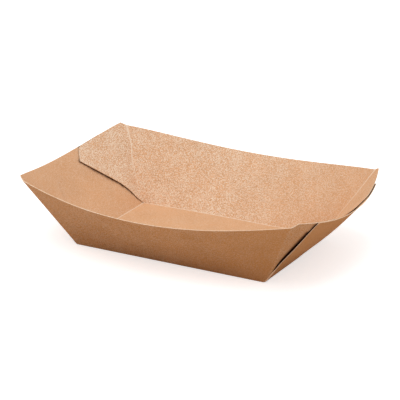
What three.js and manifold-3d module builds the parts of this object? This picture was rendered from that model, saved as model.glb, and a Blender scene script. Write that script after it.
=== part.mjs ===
// Kraft paper food tray, folded from one sheet of board. Millimetres, +Z up.
// The origin is under the middle of the flat base. X runs along the tray, Y across it.
// Each panel is laid out on the middle of the sheet, and the sheet is then given its thickness.
import * as THREE from 'three'
import { mergeVertices } from 'three/addons/utils/BufferGeometryUtils.js'
import Module from 'manifold-3d'

// Sheet
const SHEET_THICKNESS = 0.45
const KRAFT_COLOUR = 0xcf9f76
const KRAFT_ROUGHNESS = 0.85

// Base, between the lower ends of the four corner folds
const BASE_LENGTH = 130
const BASE_WIDTH = 84

// Corner folds: how far each one leans out along X and Y, and how high it ends
const CORNER_REACH_X = 25.6
const CORNER_REACH_Y = 19.4
const CORNER_HEIGHT = 44.2

// The glue holds the corners up, and the walls open further towards their middles
const LONG_WALL_SPRING = THREE.MathUtils.degToRad(18.7)
const LEFT_END_SPRING = THREE.MathUtils.degToRad(16.6)
const RIGHT_END_SPRING = THREE.MathUtils.degToRad(14.1)
const SPRING_POWER = 2.1

// Each hand-folded corner stands a little differently: further out in X, in Y and higher
const CORNER_DRIFT = {
  frontLeft: new THREE.Vector3(0, 0.8, -0.5),
  frontRight: new THREE.Vector3(1.4, -1.6, 1),
  backLeft: new THREE.Vector3(-0.5, 0.8, 0),
  backRight: new THREE.Vector3(-0.5, -0.2, -0.6),
}

// End panels: folded up from the base outside the flaps, with straight side cuts.
// The insets are level, from the base corner. The end rims rise past the tops of the corner folds.
const SIDE_CUT_BASE_INSET = 2
const SIDE_CUT_RIM_INSET = 0
const END_RIM_RISE = 3.6
const LAYER_GAP = 0.75
const LAYER_STEP = SHEET_THICKNESS + LAYER_GAP

// Corner flaps. The tip inset is level, from the corner fold, and the others from the base corner.
// A slant is measured up the end wall from the base, and a drop down it from the rim.
const FLAP_TIP_INSET = 4
const FLAP_KINK_INSET = 9.7
const FLAP_KINK_SLANT = 19.2
const FLAP_NOSE_INSET = 27
const FLAP_NOSE_DROP = 8.7
const FLAP_TOP_INSET = 18

// Glue spot between a flap and the end panel, placed by its middle
const GLUE_INSET = 11
const GLUE_DROP = 16.7
const GLUE_WIDTH = 12
const GLUE_HEIGHT = 14

// Facets
const LONG_STEPS = 20
const END_STEPS = 14
const FLAP_STEPS = 7
const LOWER_EDGE_STEPS = 2
const UPPER_EDGE_STEPS = 3
const RISE_STEPS = LOWER_EDGE_STEPS + UPPER_EDGE_STEPS + 1

const { lerp } = THREE.MathUtils
const HALF_SHEET = SHEET_THICKNESS / 2

function cornerTop(sideX, sideY) {
  const name = (sideY < 0 ? 'front' : 'back') + (sideX < 0 ? 'Left' : 'Right')
  const drift = CORNER_DRIFT[name]
  return new THREE.Vector3(
    sideX * (BASE_LENGTH / 2 + CORNER_REACH_X + drift.x),
    sideY * (BASE_WIDTH / 2 + CORNER_REACH_Y + drift.y),
    CORNER_HEIGHT + drift.z,
  )
}

// A wall between two corner folds. It runs along one base edge and leans out across it.
function makeWall(isLong, side, spring) {
  const along = isLong ? 'x' : 'y'
  const across = isLong ? 'y' : 'x'
  const start = isLong ? cornerTop(-1, side) : cornerTop(side, -1)
  const end = isLong ? cornerTop(1, side) : cornerTop(side, 1)
  const halfRun = (isLong ? BASE_LENGTH : BASE_WIDTH) / 2
  const halfDepth = (isLong ? BASE_WIDTH : BASE_LENGTH) / 2
  const reach = (corner) => Math.abs(corner[across]) - halfDepth
  const startReach = reach(start)
  const endReach = reach(end)
  const startSlant = Math.hypot(startReach, start.z)
  const endSlant = Math.hypot(endReach, end.z)
  const startLean = Math.atan2(startReach, start.z)
  const endLean = Math.atan2(endReach, end.z)

  // Slant height of the wall from its base edge to the tops of its corner folds
  const slantAt = (run) => lerp(startSlant, endSlant, (run + 1) / 2)

  // run goes from -1 at one corner fold to 1 at the other, rise from 0 at the base edge to 1
  function point(run, rise, stepOut = 0) {
    const share = (run + 1) / 2
    const opening = spring * (1 - Math.abs(run) ** SPRING_POWER)
    const lean = lerp(startLean, endLean, share) + opening
    const slant = slantAt(run) * rise
    const p = new THREE.Vector3()
    p[along] = lerp(run * halfRun, lerp(start[along], end[along], share), rise)
    p[across] = side * (halfDepth + slant * Math.sin(lean) + stepOut)
    p.z = HALF_SHEET + slant * Math.cos(lean)
    return p
  }

  // The run at which a straight line up the wall, at this distance from its middle, is reached
  function runAt(distance, rise) {
    const middle = rise * (start[along] + end[along]) / 2
    const half = lerp(halfRun, (end[along] - start[along]) / 2, rise)
    return (distance - middle) / half
  }

  return { point, runAt, slantAt }
}

const longWalls = {
  front: makeWall(true, -1, LONG_WALL_SPRING),
  back: makeWall(true, 1, LONG_WALL_SPRING),
}
const endWalls = {
  left: makeWall(false, -1, LEFT_END_SPRING),
  right: makeWall(false, 1, RIGHT_END_SPRING),
}

// Rise of a point that lies this far up the slope of an end wall
const endRise = (slant) => slant / endWalls.left.slantAt(0)
const END_RIM = 1 + endRise(END_RIM_RISE)

// The sheet collects panels. Points that coincide are one point, so panels join at their folds.
class Sheet {
  constructor() {
    this.points = []
    this.index = new Map()
    this.faces = []
  }

  addPoint(p) {
    const key = [p.x, p.y, p.z].map((value) => Math.round(value * 1000)).join()
    if (!this.index.has(key)) {
      this.index.set(key, this.points.length)
      this.points.push(p)
    }
    return this.index.get(key)
  }

  addFace(panel, a, b, c) {
    const corners = [a, b, c].map((p) => this.addPoint(p))
    if (new Set(corners).size < 3) return
    const normal = new THREE.Triangle(a, b, c).getNormal(new THREE.Vector3())
    this.faces.push({ panel, corners, normal })
  }

  // rows[j][i] runs so that its faces look into the tray, or out of it where flipped
  addGrid(panel, rows, flipped) {
    for (let j = 0; j + 1 < rows.length; j += 1) {
      for (let i = 0; i + 1 < rows[j].length; i += 1) {
        const a = rows[j][i]
        const b = rows[j][i + 1]
        const c = rows[j + 1][i + 1]
        const d = rows[j + 1][i]
        if (flipped) {
          this.addFace(panel, a, c, b)
          this.addFace(panel, a, d, c)
        } else {
          this.addFace(panel, a, b, c)
          this.addFace(panel, a, c, d)
        }
      }
    }
  }

  // The mitred offset to the inner face: half a sheet from every panel that meets at the point
  offsets() {
    const perPoint = this.points.map(() => new Map())
    for (const { panel, corners, normal } of this.faces) {
      for (const corner of corners) {
        const panels = perPoint[corner]
        if (!panels.has(panel)) panels.set(panel, new THREE.Vector3())
        panels.get(panel).add(normal)
      }
    }
    return perPoint.map((panels) => {
      const normals = [...panels.values()].map((n) => n.normalize())
      return mitre(normals)
    })
  }

  // A closed body: inner face, outer face, and a strip along every free edge
  thicken() {
    const offsets = this.offsets()
    const inner = this.points.map((p, i) => p.clone().add(offsets[i]))
    const outer = this.points.map((p, i) => p.clone().sub(offsets[i]))
    const triangles = []
    const directed = new Set()
    for (const { corners: [a, b, c] } of this.faces) {
      triangles.push(inner[a], inner[b], inner[c], outer[a], outer[c], outer[b])
      directed.add(`${a},${b}`).add(`${b},${c}`).add(`${c},${a}`)
    }
    for (const edge of directed) {
      const [a, b] = edge.split(',').map(Number)
      if (directed.has(`${b},${a}`)) continue
      triangles.push(inner[b], inner[a], outer[a], inner[b], outer[a], outer[b])
    }
    return new THREE.BufferGeometry().setFromPoints(triangles)
  }
}

function mitre(normals) {
  if (normals.length === 1) return normals[0].clone().multiplyScalar(HALF_SHEET)
  if (normals.length === 2) {
    const [a, b] = normals
    return a.clone().add(b).multiplyScalar(HALF_SHEET / (1 + a.dot(b)))
  }
  const [a, b, c] = normals
  const planes = new THREE.Matrix3(a.x, a.y, a.z, b.x, b.y, b.z, c.x, c.y, c.z)
  return new THREE.Vector3(1, 1, 1).multiplyScalar(HALF_SHEET).applyMatrix3(planes.invert())
}

const steps = (count) => Array.from({ length: count + 1 }, (_, i) => i / count)
const RISES = steps(RISE_STEPS)
const LONG_RUNS = steps(LONG_STEPS).map((share) => lerp(-1, 1, share))
const END_RUNS = steps(END_STEPS).map((share) => lerp(-1, 1, share))

function addLongWall(sheet, name) {
  const wall = longWalls[name]
  const rows = RISES.map((rise) => LONG_RUNS.map((run) => wall.point(run, rise)))
  sheet.addGrid(name, rows, name === 'front')
}

// One level line across an end panel, from its front side cut to its back one
function endPanelRow(name, share) {
  const wall = endWalls[name]
  const rise = share * END_RIM
  const halfWidth = BASE_WIDTH / 2 - lerp(SIDE_CUT_BASE_INSET, SIDE_CUT_RIM_INSET, share)
  return END_RUNS.map((run) => wall.point(wall.runAt(run * halfWidth, rise), rise, LAYER_STEP))
}

function addEndPanel(sheet, name) {
  const rows = RISES.map((share) => endPanelRow(name, share))
  sheet.addGrid(`${name}Panel`, rows, name === 'right')
}

// The base: its long edges end at the corner folds, its ends reach out to the end panels
function addBase(sheet) {
  const longEdge = (name) => LONG_RUNS.map((run) => longWalls[name].point(run, 0))
  const outline = [
    ...longEdge('front'),
    ...endPanelRow('right', 0),
    ...longEdge('back').reverse(),
    ...endPanelRow('left', 0).reverse(),
  ]
  const flat = outline.map((p) => new THREE.Vector2(p.x, p.y))
  for (const [a, b, c] of THREE.ShapeUtils.triangulateShape(flat, [])) {
    sheet.addFace('base', outline[a], outline[b], outline[c])
  }
}

// The free edge of a flap, from the base corner to its top corner, as [inset, rise] pairs
function flapFreeEdge() {
  const corner = [0, 0]
  const kink = [FLAP_KINK_INSET, endRise(FLAP_KINK_SLANT)]
  const nose = [FLAP_NOSE_INSET, END_RIM - endRise(FLAP_NOSE_DROP)]
  const top = [FLAP_TOP_INSET, END_RIM]
  const between = (a, b) => (share) => [lerp(a[0], b[0], share), lerp(a[1], b[1], share)]
  const lower = steps(LOWER_EDGE_STEPS).map(between(corner, kink))
  const upper = steps(UPPER_EDGE_STEPS).map(between(kink, nose))
  return [...lower, ...upper.slice(1), top]
}

// A corner flap: carried by the long wall at the corner fold, laid inside the end panel
function addFlap(sheet, endName, sideY) {
  const wall = endWalls[endName]
  const place = (inset, rise) => wall.runAt(sideY * (BASE_WIDTH / 2 - inset), rise)
  const tipRun = sideY * (1 - FLAP_TIP_INSET / (BASE_WIDTH / 2 + CORNER_REACH_Y))
  const rows = flapFreeEdge().map(([inset, rise], j) => {
    const free = place(inset, rise)
    const atRim = j === RISE_STEPS
    return steps(FLAP_STEPS).map((share, i) => {
      if (!atRim) return wall.point(lerp(free, sideY, share), lerp(rise, RISES[j], share))
      if (i === FLAP_STEPS) return wall.point(sideY, 1)
      return wall.point(lerp(free, tipRun, i / (FLAP_STEPS - 1)), END_RIM)
    })
  })
  const flipped = (endName === 'right') === (sideY > 0)
  sheet.addGrid(`${endName}Flap${sideY}`, rows, flipped)
}

// Glue between a flap and the end panel, reaching to the middle of both layers
function glueSpot(endName, sideY) {
  const wall = endWalls[endName]
  const spot = new THREE.BoxGeometry(1, 1, 1)
  const position = spot.attributes.position
  for (let i = 0; i < position.count; i += 1) {
    const inset = GLUE_INSET + position.getX(i) * GLUE_WIDTH
    const rise = END_RIM - endRise(GLUE_DROP - position.getY(i) * GLUE_HEIGHT)
    const run = wall.runAt(sideY * (BASE_WIDTH / 2 - inset), rise)
    const p = wall.point(run, rise, (position.getZ(i) + 0.5) * LAYER_STEP)
    position.setXYZ(i, p.x, p.y, p.z)
  }
  const turnedInsideOut = (endName === 'right') === (sideY > 0)
  if (turnedInsideOut) spot.index.array.reverse()
  return spot
}

const wasm = await Module()
wasm.setup()

function toSolid(geometry) {
  const bare = new THREE.BufferGeometry()
  bare.setAttribute('position', geometry.attributes.position)
  bare.setIndex(geometry.index)
  const welded = mergeVertices(bare, 1e-4)
  return new wasm.Manifold(new wasm.Mesh({
    numProp: 3,
    vertProperties: new Float32Array(welded.attributes.position.array),
    triVerts: new Uint32Array(welded.index.array),
  }))
}

function toGeometry(solid) {
  const mesh = solid.getMesh()
  const geometry = new THREE.BufferGeometry()
  geometry.setAttribute('position', new THREE.BufferAttribute(mesh.vertProperties, 3))
  geometry.setIndex(new THREE.BufferAttribute(mesh.triVerts, 1))
  geometry.computeVertexNormals()
  return geometry
}

function buildTray() {
  const sheet = new Sheet()
  addBase(sheet)
  addLongWall(sheet, 'front')
  addLongWall(sheet, 'back')
  const glue = []
  for (const endName of ['left', 'right']) {
    addEndPanel(sheet, endName)
    for (const sideY of [-1, 1]) {
      addFlap(sheet, endName, sideY)
      glue.push(glueSpot(endName, sideY))
    }
  }
  const folded = toSolid(sheet.thicken())
  return glue.reduce((solid, spot) => solid.add(toSolid(spot)), folded)
}

const kraft = new THREE.MeshStandardMaterial({
  color: KRAFT_COLOUR,
  roughness: KRAFT_ROUGHNESS,
  metalness: 0,
})
const tray = new THREE.Mesh(toGeometry(buildTray()), kraft)
tray.name = 'tray'

const model = new THREE.Group()
model.name = 'paper_food_tray'
model.add(tray)

export default model
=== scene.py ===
"""Kraft paper food tray: one sheet of board, folded and glued, with its studio.

The tray is a fine sheet built from the same driving sizes as the solid, with rounded
creases, cut edges and the small unevenness of folding by hand. Lengths are in metres.
"""

import math

import bpy
from mathutils import Matrix, Vector, noise


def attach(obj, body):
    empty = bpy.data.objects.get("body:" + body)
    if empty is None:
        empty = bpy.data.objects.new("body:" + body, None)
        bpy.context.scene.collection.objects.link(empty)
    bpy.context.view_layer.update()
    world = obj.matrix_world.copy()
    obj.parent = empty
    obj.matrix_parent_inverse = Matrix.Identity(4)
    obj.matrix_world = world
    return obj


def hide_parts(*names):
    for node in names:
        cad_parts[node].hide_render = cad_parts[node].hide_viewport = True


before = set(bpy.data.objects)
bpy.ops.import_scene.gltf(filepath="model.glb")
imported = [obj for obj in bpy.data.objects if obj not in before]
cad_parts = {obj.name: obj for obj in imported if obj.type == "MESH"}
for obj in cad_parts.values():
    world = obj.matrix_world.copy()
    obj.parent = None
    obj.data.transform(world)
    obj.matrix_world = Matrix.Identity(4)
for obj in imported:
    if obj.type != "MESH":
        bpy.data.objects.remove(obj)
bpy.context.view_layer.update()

bl_info = {
    "name": "Kraft Paper Food Tray",
    "version": (1, 0, 0),
    "blender": (4, 5, 0),
    "location": "View3D > Sidebar > Food Tray",
    "description": "Folds a kraft paper food tray and sets up its studio",
    "category": "Object",
}

MM = 0.001


def length(name, description, millimetres):
    """A length property, given in millimetres."""
    return bpy.props.FloatProperty(
        name=name, description=description, default=millimetres * MM,
        unit="LENGTH", precision=5,
    )


def angle(name, description, degrees):
    """An angle property, given in degrees."""
    return bpy.props.FloatProperty(
        name=name, description=description, default=math.radians(degrees),
        unit="ROTATION",
    )


def amount(name, description, default):
    """A plain number from 0 upwards."""
    return bpy.props.FloatProperty(name=name, description=description, default=default, min=0.0)


def colour(name, description, default):
    """A linear colour."""
    return bpy.props.FloatVectorProperty(
        name=name, description=description, default=default,
        size=3, min=0.0, max=1.0, subtype="COLOR",
    )


class TraySizes(bpy.types.PropertyGroup):
    """Sizes of the folded blank"""
    board: length("Board", "Thickness of the board", 0.45)
    base_length: length("Base length", "Between the lower ends of the corner folds, along X", 130)
    base_width: length("Base width", "Between the lower ends of the corner folds, along Y", 84)
    reach_x: length("Corner reach X", "How far a corner fold leans out along X", 25.6)
    reach_y: length("Corner reach Y", "How far a corner fold leans out along Y", 19.4)
    corner_height: length("Corner height", "Height of the upper end of a corner fold", 44.2)
    long_spring: angle("Long wall spring", "How far the long walls open in their middles", 18.7)
    left_spring: angle("Left end spring", "How far the left end opens in its middle", 16.6)
    right_spring: angle("Right end spring", "How far the right end opens in its middle", 14.1)
    end_rim_rise: length("End rim rise", "How far an end's rim stands past the corner folds", 3.6)
    gap_at_base: length("Gap at the base", "From a flap to the end panel, at the base", 0.4)
    gap_halfway: length("Gap halfway", "More of that gap, halfway up the end panel", 1.35)
    gap_at_rim: length("Gap at the rim", "From a flap to the end panel, at the rim", 0.95)
    panel_drop: length("Panel drop", "From a flap's rim down to the end panel's rim", 0.7)
    right_tilt: length("Right tilt", "How much higher the right end panel is in front", 1.1)
    side_cut_inset: length("Side cut inset", "From base corner to the end panel's side cut", 0.5)
    tip_inset: length("Tip inset", "From the corner fold to the flap's tip", 4)
    kink_inset: length("Kink inset", "From base corner to the kink of a flap's free edge", 9.7)
    kink_slant: length("Kink height", "Of that kink, measured up the slope", 19.2)
    nose_inset: length("Nose inset", "From base corner to the flap's nose", 27)
    nose_drop: length("Nose drop", "From the rim to the flap's nose, down the slope", 8.7)
    top_inset: length("Top inset", "From base corner to the end of a flap's rim", 18)
    crease: length("Crease", "From a fold to where its rounding ends", 0.5)
    waves: length("Waves", "Depth of the slow waves in the walls", 0.15)


class KraftFinish(bpy.types.PropertyGroup):
    """Colours and grain of the board"""
    inside: colour("Inside", "Face of the board that holds the food", (0.70, 0.385, 0.2))
    # Partly painted shade: the outer face is darker than the inside partly as the board's own face,
    # partly to stand in for the shade on the downward-leaning outer walls
    outside: colour("Outside", "Face of the board that is held", (0.505, 0.212, 0.07))
    cut_edge: colour("Cut edge", "Freshly cut fibres", (0.8, 0.53, 0.34))
    # Pale colour of the specks, which are partly pale fibres and partly painted sheen, and of the
    # line along the creases, which is partly wear and partly painted highlight
    pale_fibre_and_highlight: colour("Pale fibre", "Specks in the grain", (0.92, 0.76, 0.6))
    roughness: amount("Roughness", "Of the uncoated face", 0.82)
    fibre: length("Fibre", "Length of the fibres in the grain", 2.6)
    # The pale specks are partly real fibres and partly painted sheen, stronger inside than outside
    speckle_and_sheen: amount("Speckle", "Strength of the pale specks inside", 0.8)
    outer_speckle_and_sheen: amount("Outer speckle", "Strength of the pale specks outside", 0.22)
    mottle: amount("Mottle", "Strength of the cloudy variation", 1.0)
    # The pale line along the creases is partly wear and partly painted highlight, inside and
    # outside
    crease_wear_and_highlight: amount("Crease wear", "How pale the creases are inside", 1.0)
    outer_wear_and_highlight: amount("Outer wear", "How pale the creases are outside", 0.03)
    # Painted shade: this near-black colour stands in for the shadow in the gaps between two layers
    # of board
    between: colour("Between", "Shade of the faces between two layers", (0.05, 0.006, 0.0))


class TrayStudio(bpy.types.PropertyGroup):
    """Camera, floor and lamps"""
    azimuth: angle("Azimuth", "Of the camera, from the front towards the right", 28.775)
    elevation: angle("Elevation", "Of the camera above the floor", 20.047)
    distance: length("Distance", "From the origin to the camera, along its axis", 1306.6)
    aim_left: length("Aim left", "Of the origin, to the middle of the picture", 0.7116)
    aim_up: length("Aim up", "Of the origin, to the middle of the picture", 25.649)
    pixels_per_mm: amount("Pixels per millimetre", "At the origin", 1.60014)
    floor: colour("Floor", "Matt white floor", (0.86, 0.86, 0.86))
    floor_lift: amount("Floor lift", "Glow that whitens the floor in the picture", 0.6)
    key_power: amount("Key power", "Of the wide lamp overhead, in watts", 4.6)
    fill: amount("Fill", "Brightness of the room", 0.63)


# The square picture that the camera is matched to, and the width of its sensor
PICTURE_PIXELS = 400
SENSOR = 36.0

# How evenly the walls open from the corner folds to their middles
SPRING_POWER = 2.1

# Each hand-folded corner stands a little differently: further out in X, in Y and higher
CORNER_DRIFT = {
    (-1, -1): Vector((0.0, 0.8, -0.5)) * MM,
    (1, -1): Vector((1.4, -1.6, 1.0)) * MM,
    (-1, 1): Vector((-0.5, 0.8, 0.0)) * MM,
    (1, 1): Vector((-0.5, -0.2, -0.6)) * MM,
}

# Corner folds that didn't stay straight: the push, where up the fold it peaks, over which
# share of the height either way it ends, and how far from the fold it reaches
CREASE_BOWS = [
    ((-1, 1), Vector((-1.4, -1.5, 0.0)) * MM, 0.37, 0.37, 13 * MM),
    ((1, -1), Vector((1.2, 0.6, 0.0)) * MM, 0.3, 0.3, 7 * MM),
]

# The back fold of the base lifts in its middle, and the lift ends this far from the fold
BACK_FOLD_LIFT = 0.9 * MM
BACK_FOLD_REACH = 12 * MM

# The back right corner of the base stands a little off the table
BASE_CORNER = (1, 1)
BASE_CORNER_PUSH = Vector((-0.9, 0.0, 1.5)) * MM
BASE_CORNER_REACH = 42 * MM

# Length of the slow waves in the walls, and the seed that gives the same ones each time
WAVE_LENGTH = 34 * MM
WAVE_SEED = 5

# Steps of the sheet: along the long walls and the ends, up to the kink of a flap's free
# edge, on to its nose, on to its rim, and from its free edge to its fold
LONG_STEPS = 44
END_STEPS = 42
LOWER_STEPS = 9
UPPER_STEPS = 12
TOP_STEPS = 4
FLAP_STEPS = 14

# Share of a flap's width that its last step takes, so that its fold stays tight
FLAP_CREASE_SHARE = 0.02

# How sharp a flap's corners are cut, where 1 is not rounded at all
KINK_SHARPNESS = 0.85
NOSE_SHARPNESS = 0.9

# Painted shade in the gaps between layers: over which distance a face turns dark near the edge of
# the layer over it, and which share of that dark band lies in the open
GAP_SHADE_FADE = 0.8 * MM
GAP_SHADE_SHARE_OPEN = 0.9

# What is marked on the points of the sheet: grain, which also paints some areas lighter or darker,
# folds, sharp corners, and painted shade where one layer covers another
MARKS = ("grain", "fold", "crease_vert", "hidden_inside", "hidden_outside")

# Strength of the grain and pale specks on each area, partly real grain and partly painted light
# that makes some areas lighter or darker as the light falls on them. On the long walls it fades
# towards the right, from this run on.
WALL_GRAIN_AND_LIGHT = 1.2
WALL_GRAIN_AND_LIGHT_AT_RIGHT = 0.55
GRAIN_AND_LIGHT_FADE_FROM = -0.2
FLAP_GRAIN_AND_LIGHT = {(-1, -1): 0.45, (1, -1): 1.15, (-1, 1): 1.5, (1, 1): 0.5}
END_GRAIN_AND_LIGHT = 0.45
BASE_GRAIN_AND_LIGHT = 0.35

# Fibres lie in layers that are turned against each other, and are longer than thick
FIBRE_TURNS = (0.3, 1.3, 2.4)
FIBRE_THINNESS = 4.5

# How many specks, patches and clouds there are to the length of a fibre
SPECKS_PER_FIBRE = 4.2
PATCHES_PER_FIBRE = 0.2
CLOUDS_PER_FIBRE = 0.12
CLOUD_DEPTH = 0.2

# The noise above which a speck is pale, across the range of the patches, and its soft edge
PATCH_RANGE = (0.35, 0.65)
SPECK_LEVELS = (0.455, 0.405)
SPECK_EDGE = 0.2

# Surface of the board: how the height of its grain changes the roughness and the relief
GRAIN_HEIGHTS = (0.7, 1.3)
ROUGHNESS_SPREAD = 0.08
RELIEF = 0.06 * MM
RELIEF_STRENGTH = 0.35
SHEEN = 0.04

# How tight the pale line keeps to a crease, which is partly rubbing and partly painted highlight
PALE_CREASE_TIGHTNESS = 1.8

KEY_SIZE = 0.9
KEY_PLACE = Vector((-0.1, -0.2, 0.95))
FLOOR_SIZE = 6.0


def lerp(a, b, share):
    return a + (b - a) * share


def fade(distance, reach):
    """1 at no distance, falling smoothly to 0 at reach."""
    share = min(abs(distance) / reach, 1.0)
    return (1.0 - share * share) ** 2


def painted_shade_share(overlap):
    """Share of painted shade: 1 inside the edge of a layer that lies over a point, fading to 0
    close outside it.
    """
    return min(max(overlap / GAP_SHADE_FADE + GAP_SHADE_SHARE_OPEN, 0.0), 1.0)


def steps(count, start=0.0, end=1.0):
    return [lerp(start, end, i / count) for i in range(count + 1)]


def folded_steps(count, start, end, crease):
    """Steps with one more just inside each end, so that the fold there stays tight."""
    inside = steps(count, start, end)[1:-1]
    edge = math.copysign(crease, end - start)
    return [start, start + edge] + inside + [end - edge, end]


def corner_top(sizes, corner):
    side_x, side_y = corner
    drift = CORNER_DRIFT[corner]
    return Vector((
        side_x * (sizes.base_length / 2 + sizes.reach_x + drift.x),
        side_y * (sizes.base_width / 2 + sizes.reach_y + drift.y),
        sizes.corner_height + drift.z,
    ))


class Wall:
    """A wall between two corner folds. It runs along one base edge and leans out across it."""

    def __init__(self, sizes, is_long, side, spring):
        self.along, self.across = (0, 1) if is_long else (1, 0)
        self.side = side
        self.spring = spring
        half_x = sizes.base_length / 2
        half_y = sizes.base_width / 2
        self.half_run, self.half_depth = (half_x, half_y) if is_long else (half_y, half_x)
        self.half_board = sizes.board / 2
        corners = [(-1, side), (1, side)] if is_long else [(side, -1), (side, 1)]
        self.ends = [corner_top(sizes, corner) for corner in corners]
        reaches = [abs(end[self.across]) - self.half_depth for end in self.ends]
        self.slants = [math.hypot(reach, end.z) for reach, end in zip(reaches, self.ends)]
        self.leans = [math.atan2(reach, end.z) for reach, end in zip(reaches, self.ends)]

    def slant_at(self, run):
        """Slant height of the wall from its base edge to the tops of its corner folds."""
        return lerp(*self.slants, (run + 1) / 2)

    def point(self, run, rise, step_out=0.0):
        """run is -1 at one corner fold and 1 at the other, and rise is 0 at the base edge."""
        share = (run + 1) / 2
        opening = self.spring * (1 - abs(run) ** SPRING_POWER)
        lean = lerp(*self.leans, share) + opening
        slant = self.slant_at(run) * rise
        top = lerp(self.ends[0][self.along], self.ends[1][self.along], share)
        p = Vector()
        p[self.along] = lerp(run * self.half_run, top, rise)
        p[self.across] = self.side * (self.half_depth + slant * math.sin(lean) + step_out)
        p.z = self.half_board + slant * math.cos(lean)
        return p

    def run_at(self, distance, rise):
        """The run at which a straight line up the wall, this far from its middle, is reached."""
        start, end = [top[self.along] for top in self.ends]
        half = lerp(self.half_run, (end - start) / 2, rise)
        return (distance - rise * (start + end) / 2) / half


class Sheet:
    """Collects panels. Points that coincide are one point, so panels join at their folds."""

    def __init__(self):
        self.points = []
        self.index = {}
        self.faces = []
        self.marks = {name: {} for name in MARKS}

    def add_point(self, p, marks):
        key = tuple(round(value / (0.001 * MM)) for value in p)
        at = self.index.setdefault(key, len(self.points))
        if at == len(self.points):
            self.points.append(p)
        for name, value in marks.items():
            self.marks[name][at] = max(self.marks[name].get(at, 0.0), value)
        return at

    def add_grid(self, rows, flipped, **marks):
        """rows[j][i] runs so that its faces look into the tray, or out of it where flipped.

        Each mark is a number, or a function of j and i that gives one.
        """
        ids = [
            [
                self.add_point(p, {
                    name: float(mark(j, i) if callable(mark) else mark)
                    for name, mark in marks.items()
                })
                for i, p in enumerate(row)
            ]
            for j, row in enumerate(rows)
        ]
        for lower, upper in zip(ids, ids[1:]):
            for i in range(len(lower) - 1):
                corners = [lower[i], lower[i + 1], upper[i + 1], upper[i]]
                corners = list(dict.fromkeys(corners))
                if len(corners) > 2:
                    self.faces.append(corners[::-1] if flipped else corners)


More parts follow.
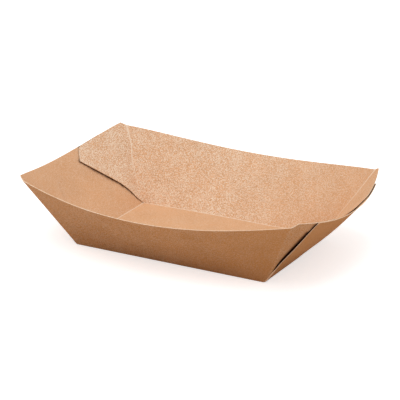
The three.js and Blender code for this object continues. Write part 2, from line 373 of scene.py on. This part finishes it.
class Blank:
    """Lays out the base, two long walls, two end panels and four corner flaps as one sheet."""

    def __init__(self, sizes):
        self.sizes = sizes
        self.sheet = Sheet()
        self.half_x = sizes.base_length / 2
        self.half_y = sizes.base_width / 2
        self.long_walls = {side: Wall(sizes, True, side, sizes.long_spring) for side in (-1, 1)}
        self.end_walls = {
            -1: Wall(sizes, False, -1, sizes.left_spring),
            1: Wall(sizes, False, 1, sizes.right_spring),
        }
        self.end_slant = self.end_walls[-1].slant_at(0)
        self.end_rim = 1 + self.end_rise(sizes.end_rim_rise)
        self.panel_rim = self.end_rim - self.end_rise(sizes.panel_drop)
        rise_count = LOWER_STEPS + UPPER_STEPS + TOP_STEPS - 2
        self.rises = folded_steps(rise_count, 0.0, 1.0, self.end_rise(sizes.crease))
        self.long_runs = folded_steps(LONG_STEPS, -1.0, 1.0, sizes.crease / self.half_x)
        self.across = folded_steps(END_STEPS, -self.half_y, self.half_y, sizes.crease)

    def end_rise(self, slant):
        """Rise of a point that lies this far up the slope of an end wall."""
        return slant / self.end_slant

    def add_long_wall(self, side):
        wall = self.long_walls[side]
        rows = [[wall.point(run, rise) for run in self.long_runs] for rise in self.rises]
        last = len(self.long_runs) - 1
        fading = [max(run - GRAIN_AND_LIGHT_FADE_FROM, 0) / (1 - GRAIN_AND_LIGHT_FADE_FROM) for run in self.long_runs]
        self.sheet.add_grid(
            rows, side < 0, grain=lambda j, i: lerp(WALL_GRAIN_AND_LIGHT, WALL_GRAIN_AND_LIGHT_AT_RIGHT, fading[i]),
            fold=lambda j, i: j == 0 or i in (0, last),
        )

    def cut_width(self, share):
        """Share of the base's width that an end panel has between its side cuts."""
        return 1 - lerp(self.sizes.side_cut_inset, 0.0, share) / self.half_y

    def end_panel_row(self, side, share):
        """One level line across an end panel, from its front side cut to its back one."""
        sizes = self.sizes
        wall = self.end_walls[side]
        gap = lerp(sizes.gap_at_base, sizes.gap_at_rim, share)
        gap += sizes.gap_halfway * math.sin(math.pi * share) ** 2
        step_out = sizes.board + gap
        row = []
        for y in self.across:
            rise = share * self.panel_rim_at(side, y)
            run = wall.run_at(y * self.cut_width(share), rise)
            row.append(wall.point(run, rise, step_out))
        return row

    def panel_rim_at(self, side, y):
        """Rise of an end panel's rim, which isn't level on the right."""
        tilt = self.sizes.right_tilt if side > 0 else 0.0
        return self.panel_rim + self.end_rise(tilt) * (1 - y / self.half_y) / 2

    def shade_under_flap(self, y, rise):
        """Painted shade on the end panel's inside: 1 where a flap covers it, 0 where it doesn't or
        where the rim is near.
        """
        path = self.flap_free_edge()
        upto_nose = path[:LOWER_STEPS + UPPER_STEPS + 1]
        inset = self.half_y - abs(y)
        past = path[-1][0]
        for lower, upper in zip(upto_nose, upto_nose[1:]):
            if rise <= upper[1]:
                past = lerp(lower[0], upper[0], (rise - lower[1]) / (upper[1] - lower[1]))
                break
        below = painted_shade_share((self.end_rim - rise) * self.end_slant - GAP_SHADE_FADE)
        return painted_shade_share(past - inset) * below

    def add_end_panel(self, side):
        rows = [self.end_panel_row(side, share) for share in self.rises]
        self.sheet.add_grid(
            rows, side > 0, grain=END_GRAIN_AND_LIGHT, fold=lambda j, i: j == 0,
            hidden_inside=lambda j, i: self.shade_under_flap(
                rows[j][i].y, self.rises[j] * self.panel_rim_at(side, self.across[i])),
        )

    def add_base(self):
        """The base between the corner folds, and on past them to each end panel."""
        sizes = self.sizes
        level = sizes.board / 2
        rows = [
            [Vector((run * self.half_x, y, level)) for run in self.long_runs]
            for y in self.across
        ]
        last = len(rows) - 1
        self.sheet.add_grid(rows, False, grain=BASE_GRAIN_AND_LIGHT, fold=lambda j, i: j in (0, last))
        fold = self.half_x + sizes.board + sizes.gap_at_base
        strip = ((self.half_x, 1.0), (fold - sizes.crease, self.cut_width(0)),
                 (fold, self.cut_width(0)))
        for side in (-1, 1):
            rows = [[Vector((side * x, y * width, level)) for x, width in strip]
                    for y in self.across]
            self.sheet.add_grid(rows, side < 0, grain=BASE_GRAIN_AND_LIGHT, fold=lambda j, i: i == 2)

    def flap_free_edge(self):
        """Pairs of inset from the base corner and rise, up a flap's free edge."""
        sizes = self.sizes
        corner = (0.0, 0.0)
        kink = (sizes.kink_inset, self.end_rise(sizes.kink_slant))
        nose = (sizes.nose_inset, self.end_rim - self.end_rise(sizes.nose_drop))
        top = (sizes.top_inset, self.end_rim)
        path = [corner]
        for a, b, count in ((corner, kink, LOWER_STEPS), (kink, nose, UPPER_STEPS),
                            (nose, top, TOP_STEPS)):
            path += [(lerp(a[0], b[0], s), lerp(a[1], b[1], s)) for s in steps(count)[1:]]
        return path

    def add_flap(self, side_x, side_y):
        """A corner flap: carried by the long wall at the corner fold, inside the end panel."""
        wall = self.end_walls[side_x]
        tip = side_y * (1 - self.sizes.tip_inset / (self.half_y + self.sizes.reach_y))
        shares = steps(FLAP_STEPS, 0.0, 1.0 - FLAP_CREASE_SHARE) + [1.0]
        last = len(shares) - 1
        rows = []
        heights = []
        for j, (inset, rise) in enumerate(self.flap_free_edge()):
            heights.append([])
            free = wall.run_at(side_y * (self.half_y - inset), rise)
            past_nose = max(j - LOWER_STEPS - UPPER_STEPS, 0) / TOP_STEPS
            row = []
            for i, share in enumerate(shares):
                run = lerp(free, side_y, share)
                height = lerp(rise, self.rises[j], share)
                if i < last:
                    run = lerp(run, lerp(free, tip, i / (last - 1)), past_nose)
                    height = lerp(height, self.end_rim, past_nose ** 2)
                row.append(wall.point(run, height))
                heights[j].append(height)
            rows.append(row)
        sharp = {
            (LOWER_STEPS, 0): KINK_SHARPNESS,
            (LOWER_STEPS + UPPER_STEPS, 0): NOSE_SHARPNESS,
            (len(rows) - 1, 0): NOSE_SHARPNESS,
            (len(rows) - 1, last - 1): NOSE_SHARPNESS,
        }
        self.sheet.add_grid(
            rows, (side_x > 0) == (side_y > 0),
            grain=FLAP_GRAIN_AND_LIGHT[side_x, side_y],
            fold=lambda j, i: i == last,
            crease_vert=lambda j, i: sharp.get((j, i), 0.0),
            hidden_outside=lambda j, i: self.shade_under_panel(side_x, rows[j][i].y, heights[j][i]),
        )

    def shade_under_panel(self, side, y, rise):
        """Painted shade on a flap's outside: 1 where the end panel covers it, 0 where it doesn't.
        """
        rim = self.panel_rim_at(side, y)
        beside = painted_shade_share(self.half_y * self.cut_width(min(rise / rim, 1.0)) - abs(y))
        below = painted_shade_share((rim - rise) * self.end_slant)
        return beside * below

    def lay_out(self):
        self.add_base()
        for side in (-1, 1):
            self.add_long_wall(side)
            self.add_end_panel(side)
            for side_y in (-1, 1):
                self.add_flap(side, side_y)
        return self.sheet


def crease_bow(p, sizes):
    """Push on a point near a corner fold that bowed."""
    push = Vector()
    for corner, peak_push, peak, spread, reach in CREASE_BOWS:
        top = corner_top(sizes, corner)
        height = p.z / top.z
        foot = Vector((corner[0] * sizes.base_length / 2, corner[1] * sizes.base_width / 2, 0))
        on_fold = foot.lerp(top, height)
        up_fold = max(1 - ((height - peak) / spread) ** 4, 0.0)
        push += peak_push * up_fold * fade((p - on_fold).length, reach)
    return push


def unevenness(p, sizes):
    """How far a point of the true blank moves in one that was folded by hand."""
    push = crease_bow(p, sizes)
    along = max(1 - (2 * p.x / sizes.base_length) ** 2, 0.0)
    to_fold = math.hypot(p.y - sizes.base_width / 2, p.z)
    push.z += BACK_FOLD_LIFT * along * fade(to_fold, BACK_FOLD_REACH)
    side_x, side_y = BASE_CORNER
    corner = Vector((side_x * sizes.base_length / 2, side_y * sizes.base_width / 2, 0))
    push += BASE_CORNER_PUSH * fade((p - corner).length, BASE_CORNER_REACH)
    grows = min(p.z / sizes.corner_height, 1.0)
    push += noise.noise_vector(p / WAVE_LENGTH) * sizes.waves * grows
    return push


def make_tray(sizes, materials):
    sheet = Blank(sizes).lay_out()
    mesh = bpy.data.meshes.new("kraft_tray")
    noise.seed_set(WAVE_SEED)
    points = [p + unevenness(p, sizes) for p in sheet.points]
    mesh.from_pydata([tuple(p) for p in points], [], sheet.faces)
    for name, values in sheet.marks.items():
        attribute = mesh.attributes.new(name, "FLOAT", "POINT")
        attribute.data.foreach_set("value", [values.get(at, 0.0) for at in range(len(points))])
    for material in materials:
        mesh.materials.append(material)
    tray = bpy.data.objects.new("kraft_tray", mesh)
    bpy.context.scene.collection.objects.link(tray)
    rounding = tray.modifiers.new("Rounded creases", "SUBSURF")
    rounding.levels = 1
    rounding.render_levels = 1
    rounding.boundary_smooth = "PRESERVE_CORNERS"
    board = tray.modifiers.new("Board", "SOLIDIFY")
    board.thickness = sizes.board
    board.offset = 0.0
    board.use_even_offset = True
    board.material_offset = 1
    board.material_offset_rim = 2
    made = tray.evaluated_get(bpy.context.evaluated_depsgraph_get())
    tray.data = bpy.data.meshes.new_from_object(made)
    tray.modifiers.clear()
    sharpen_cuts(tray.data)
    return tray


def sharpen_cuts(mesh):
    """Smooth faces, with a sharp edge wherever a face of the board meets its cut edge."""
    mesh.shade_smooth()
    seen = {}
    for face in mesh.polygons:
        for key in face.edge_keys:
            seen.setdefault(key, set()).add(face.material_index)
    for edge in mesh.edges:
        edge.use_edge_sharp = len(seen[edge.key]) > 1


def add_node(tree, kind, inputs=None, **settings):
    """A node with its settings, its plain input values and its links."""
    node = tree.nodes.new(kind)
    for name, value in settings.items():
        setattr(node, name, value)
    for name, value in (inputs or {}).items():
        if isinstance(value, bpy.types.NodeSocket):
            tree.links.new(value, node.inputs[name])
        else:
            node.inputs[name].default_value = value
    return node


def maths(tree, operation, a, b=0.0, c=0.0):
    inputs = {0: a, 1: b, 2: c}
    return add_node(tree, "ShaderNodeMath", inputs, operation=operation).outputs[0]


def remap(tree, value, low, high, to_low, to_high):
    node = add_node(tree, "ShaderNodeMapRange", {
        "Value": value, "From Min": low, "From Max": high, "To Min": to_low, "To Max": to_high,
    })
    return node.outputs["Result"]


def tint(tree, blend, share, a, b):
    """Two colours put together, and the socket that gives the result."""
    node = add_node(tree, "ShaderNodeMix", data_type="RGBA", blend_type=blend)
    for at, value in ((0, share), (6, a), (7, b)):
        if isinstance(value, bpy.types.NodeSocket):
            tree.links.new(value, node.inputs[at])
        else:
            node.inputs[at].default_value = value
    return node.outputs[2]


def kraft_grain_group():
    """Fibres, pale specks and clouds of kraft board, as a colour and a height. The pale specks are
    partly real fibres and partly painted sheen.
    """
    group = bpy.data.node_groups.new("Kraft grain", "ShaderNodeTree")
    for name, kind in (("Colour", "NodeSocketColor"), ("Pale", "NodeSocketColor"),
                       ("Fibre", "NodeSocketFloat"), ("Grain", "NodeSocketFloat"),
                       ("Speckle", "NodeSocketFloat"), ("Mottle", "NodeSocketFloat")):
        group.interface.new_socket(name, in_out="INPUT", socket_type=kind)
    for name, kind in (("Colour", "NodeSocketColor"), ("Height", "NodeSocketFloat")):
        group.interface.new_socket(name, in_out="OUTPUT", socket_type=kind)
    given = group.nodes.new("NodeGroupInput").outputs
    result = group.nodes.new("NodeGroupOutput").inputs
    place = group.nodes.new("ShaderNodeTexCoord").outputs["Object"]

    per_fibre = maths(group, "DIVIDE", 1.0, given["Fibre"])
    fibres = 0.0
    for turn in FIBRE_TURNS:
        spun = add_node(group, "ShaderNodeMapping", {
            "Vector": place, "Rotation": (turn, turn / 2, turn),
            "Scale": (1.0, FIBRE_THINNESS, FIBRE_THINNESS),
        })
        fibre = add_node(group, "ShaderNodeTexNoise", {
            "Vector": spun.outputs[0], "Scale": per_fibre, "Detail": 2.0,
        })
        fibres = maths(group, "ADD", fibre.outputs[0], fibres)
    fibres = maths(group, "DIVIDE", fibres, float(len(FIBRE_TURNS)))

    specks = add_node(group, "ShaderNodeTexNoise", {
        "Vector": place, "Scale": maths(group, "MULTIPLY", per_fibre, SPECKS_PER_FIBRE),
        "Detail": 2.0, "Roughness": 0.6,
    }).outputs[0]
    clouds = add_node(group, "ShaderNodeTexNoise", {
        "Vector": place, "Scale": maths(group, "MULTIPLY", per_fibre, CLOUDS_PER_FIBRE),
        "Detail": 4.0,
    }).outputs[0]

    cloud_depth = maths(group, "MULTIPLY", given["Mottle"], CLOUD_DEPTH)
    from_middle = maths(group, "SUBTRACT", clouds, 0.5)
    clouded = maths(group, "MULTIPLY_ADD", from_middle, cloud_depth, 1.0)
    from_middle = maths(group, "SUBTRACT", fibres, 0.5)
    grained = maths(group, "MULTIPLY_ADD", from_middle, given["Grain"], 1.0)
    shade = maths(group, "MULTIPLY", clouded, grained)
    shaded = add_node(group, "ShaderNodeVectorMath", {0: given["Colour"]}, operation="SCALE")
    group.links.new(shade, shaded.inputs["Scale"])

    patches = add_node(group, "ShaderNodeTexNoise", {
        "Vector": place, "Scale": maths(group, "MULTIPLY", per_fibre, PATCHES_PER_FIBRE),
        "Detail": 3.0,
    }).outputs[0]
    # Pale specks: partly real fibres, partly painted sheen
    least = remap(group, patches, *PATCH_RANGE, *SPECK_LEVELS)
    above = maths(group, "SUBTRACT", specks, least)
    pale_speck_and_sheen = remap(group, above, 0.0, SPECK_EDGE, 0.0, 1.0)
    pale_speck_and_sheen = maths(group, "MULTIPLY", pale_speck_and_sheen, given["Speckle"])
    pale_speck_and_sheen = maths(group, "MULTIPLY", pale_speck_and_sheen, given["Grain"])
    speckled = tint(group, "MIX", pale_speck_and_sheen, shaded.outputs[0], given["Pale"])
    group.links.new(speckled, result["Colour"])
    group.links.new(maths(group, "ADD", fibres, specks), result["Height"])
    return group


def kraft_material(name, grain_group, finish, face_colour, speckle_and_sheen, wear_and_highlight, hidden=None):
    """Uncoated kraft board: the face colour with its grain, rubbed pale along the creases, where
    the pale line is partly wear and partly a painted highlight.

    The last argument names the mark of painted shade: near-black on the places that another layer
    covers, and on a thin band of open face beside that layer's edge. A cut edge has none.
    """
    material = bpy.data.materials.new(name)
    material.use_nodes = True
    tree = material.node_tree
    shader = tree.nodes["Principled BSDF"]
    # The grain mark is partly real grain and partly painted light that brightens or darkens whole
    # areas
    grain = add_node(tree, "ShaderNodeAttribute", attribute_name="grain").outputs["Fac"]
    fold = add_node(tree, "ShaderNodeAttribute", attribute_name="fold").outputs["Fac"]
    board = add_node(tree, "ShaderNodeGroup", node_tree=grain_group)
    for socket, value in (("Colour", (*face_colour, 1.0)), ("Pale", (*finish.pale_fibre_and_highlight, 1.0)),
                          ("Fibre", finish.fibre), ("Speckle", speckle_and_sheen),
                          ("Mottle", finish.mottle)):
        board.inputs[socket].default_value = value
    tree.links.new(grain, board.inputs["Grain"])
    # Pale line along the folds: partly wear, partly painted highlight
    wear_and_highlight_share = maths(tree, "MULTIPLY", maths(tree, "POWER", fold, PALE_CREASE_TIGHTNESS), wear_and_highlight)
    coloured = tint(tree, "MIX", wear_and_highlight_share, board.outputs["Colour"], (*finish.pale_fibre_and_highlight, 1.0))
    if hidden:
        # Painted shade: near-black is mixed in where another layer covers the face and in a thin
        # band beside that layer's edge
        under = add_node(tree, "ShaderNodeAttribute", attribute_name=hidden).outputs["Fac"]
        coloured = tint(tree, "MIX", under, coloured, (*finish.between, 1.0))
    tree.links.new(coloured, shader.inputs["Base Color"])
    roughness = remap(tree, board.outputs["Height"], *GRAIN_HEIGHTS,
                      finish.roughness - ROUGHNESS_SPREAD, finish.roughness + ROUGHNESS_SPREAD)
    tree.links.new(roughness, shader.inputs["Roughness"])
    bump = add_node(tree, "ShaderNodeBump", {
        "Height": board.outputs["Height"], "Strength": RELIEF_STRENGTH, "Distance": RELIEF,
    })
    tree.links.new(bump.outputs[0], shader.inputs["Normal"])
    shader.inputs["Specular IOR Level"].default_value = SHEEN
    return material


def seen_directly(tree):
    """1 for rays from the camera, and for what gloss and glass show."""
    path = tree.nodes.new("ShaderNodeLightPath").outputs
    seen = maths(tree, "MAXIMUM", path["Is Camera Ray"], path["Is Glossy Ray"])
    return maths(tree, "MAXIMUM", seen, path["Is Transmission Ray"])


def floor_material(studio):
    """Matt white that keeps the shadow, and that the picture shows as white elsewhere."""
    material = bpy.data.materials.new("floor_white")
    material.use_nodes = True
    tree = material.node_tree
    shader = tree.nodes["Principled BSDF"]
    shader.inputs["Base Color"].default_value = (*studio.floor, 1.0)
    shader.inputs["Roughness"].default_value = 1.0
    shader.inputs["Specular IOR Level"].default_value = 0.0
    shader.inputs["Emission Color"].default_value = (1.0, 1.0, 1.0, 1.0)
    lift = maths(tree, "MULTIPLY", seen_directly(tree), studio.floor_lift)
    tree.links.new(lift, shader.inputs["Emission Strength"])
    return material


def light_room(scene, studio):
    """An even white room that is plain white where it is seen."""
    world = bpy.data.worlds.new("white_room")
    world.use_nodes = True
    scene.world = world
    tree = world.node_tree
    background = tree.nodes["Background"]
    background.inputs["Color"].default_value = (1.0, 1.0, 1.0, 1.0)
    strength = remap(tree, seen_directly(tree), 0.0, 1.0, studio.fill, 1.0)
    tree.links.new(strength, background.inputs["Strength"])


def place_camera(scene, studio):
    """The camera that was fitted to the photograph's base, folds and rims."""
    azimuth, elevation = studio.azimuth, studio.elevation
    right = Vector((math.cos(azimuth), math.sin(azimuth), 0.0))
    back = Vector((
        math.sin(azimuth) * math.cos(elevation),
        -math.cos(azimuth) * math.cos(elevation),
        math.sin(elevation),
    ))
    up = back.cross(right)
    camera = bpy.data.objects.new("camera", bpy.data.cameras.new("camera"))
    scene.collection.objects.link(camera)
    turn = Matrix((right, up, back)).transposed().to_4x4()
    place = back * studio.distance - right * studio.aim_left + up * studio.aim_up
    camera.matrix_world = Matrix.Translation(place) @ turn
    focal_pixels = studio.pixels_per_mm * studio.distance / MM
    camera.data.sensor_width = SENSOR
    camera.data.lens = focal_pixels / PICTURE_PIXELS * SENSOR
    scene.camera = camera


class FOODTRAY_OT_fold_tray(bpy.types.Operator):
    """Folds the kraft board tray from its sizes and gives it its finish"""
    bl_idname = "foodtray.fold_tray"
    bl_label = "Fold the tray"

    def execute(self, context):
        finish = context.scene.kraft_finish
        grain = kraft_grain_group()
        tray = make_tray(context.scene.tray_sizes, [
            kraft_material("kraft_inside", grain, finish, finish.inside,
                           finish.speckle_and_sheen, finish.crease_wear_and_highlight, "hidden_inside"),
            kraft_material("kraft_outside", grain, finish, finish.outside,
                           finish.outer_speckle_and_sheen, finish.outer_wear_and_highlight, "hidden_outside"),
            kraft_material("kraft_cut_edge", grain, finish, finish.cut_edge,
                           finish.speckle_and_sheen, finish.outer_wear_and_highlight),
        ])
        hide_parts("tray")
        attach(tray, "root")
        return {"FINISHED"}


class FOODTRAY_OT_set_studio(bpy.types.Operator):
    """Sets the floor, the room, the lamp and the camera"""
    bl_idname = "foodtray.set_studio"
    bl_label = "Set the studio"

    def execute(self, context):
        scene = context.scene
        studio = scene.tray_studio
        scene.view_settings.view_transform = "Standard"
        bpy.ops.mesh.primitive_plane_add(size=FLOOR_SIZE)
        floor = context.object
        floor.name = "floor"
        floor.data.materials.append(floor_material(studio))
        lamp = bpy.data.lights.new("key", "AREA")
        lamp.size = KEY_SIZE
        lamp.energy = studio.key_power
        key = bpy.data.objects.new("key", lamp)
        key.location = KEY_PLACE
        key.rotation_euler = KEY_PLACE.to_track_quat("Z", "Y").to_euler()
        scene.collection.objects.link(key)
        light_room(scene, studio)
        place_camera(scene, studio)
        return {"FINISHED"}


class FOODTRAY_PT_panel(bpy.types.Panel):
    """Lists the steps of the scene and the values that each one uses"""
    bl_idname = "FOODTRAY_PT_panel"
    bl_label = "Kraft food tray"
    bl_space_type = "VIEW_3D"
    bl_region_type = "UI"
    bl_category = "Food Tray"

    def draw(self, context):
        layout = self.layout
        steps_and_values = (
            ("foodtray.fold_tray", (context.scene.tray_sizes, context.scene.kraft_finish)),
            ("foodtray.set_studio", (context.scene.tray_studio,)),
        )
        for operator, groups in steps_and_values:
            layout.operator(operator)
            for group in groups:
                for name in group.__annotations__:
                    layout.prop(group, name)


CLASSES = (
    TraySizes,
    KraftFinish,
    TrayStudio,
    FOODTRAY_OT_fold_tray,
    FOODTRAY_OT_set_studio,
    FOODTRAY_PT_panel,
)
SETTINGS = {
    "tray_sizes": TraySizes,
    "kraft_finish": KraftFinish,
    "tray_studio": TrayStudio,
}


def register():
    for cls in CLASSES:
        bpy.utils.register_class(cls)
    for name, group in SETTINGS.items():
        setattr(bpy.types.Scene, name, bpy.props.PointerProperty(type=group))


def unregister():
    for name in SETTINGS:
        delattr(bpy.types.Scene, name)
    for cls in reversed(CLASSES):
        bpy.utils.unregister_class(cls)


def main():
    register()
    bpy.ops.foodtray.fold_tray()
    bpy.ops.foodtray.set_studio()


if __name__ == "__main__":
    main()
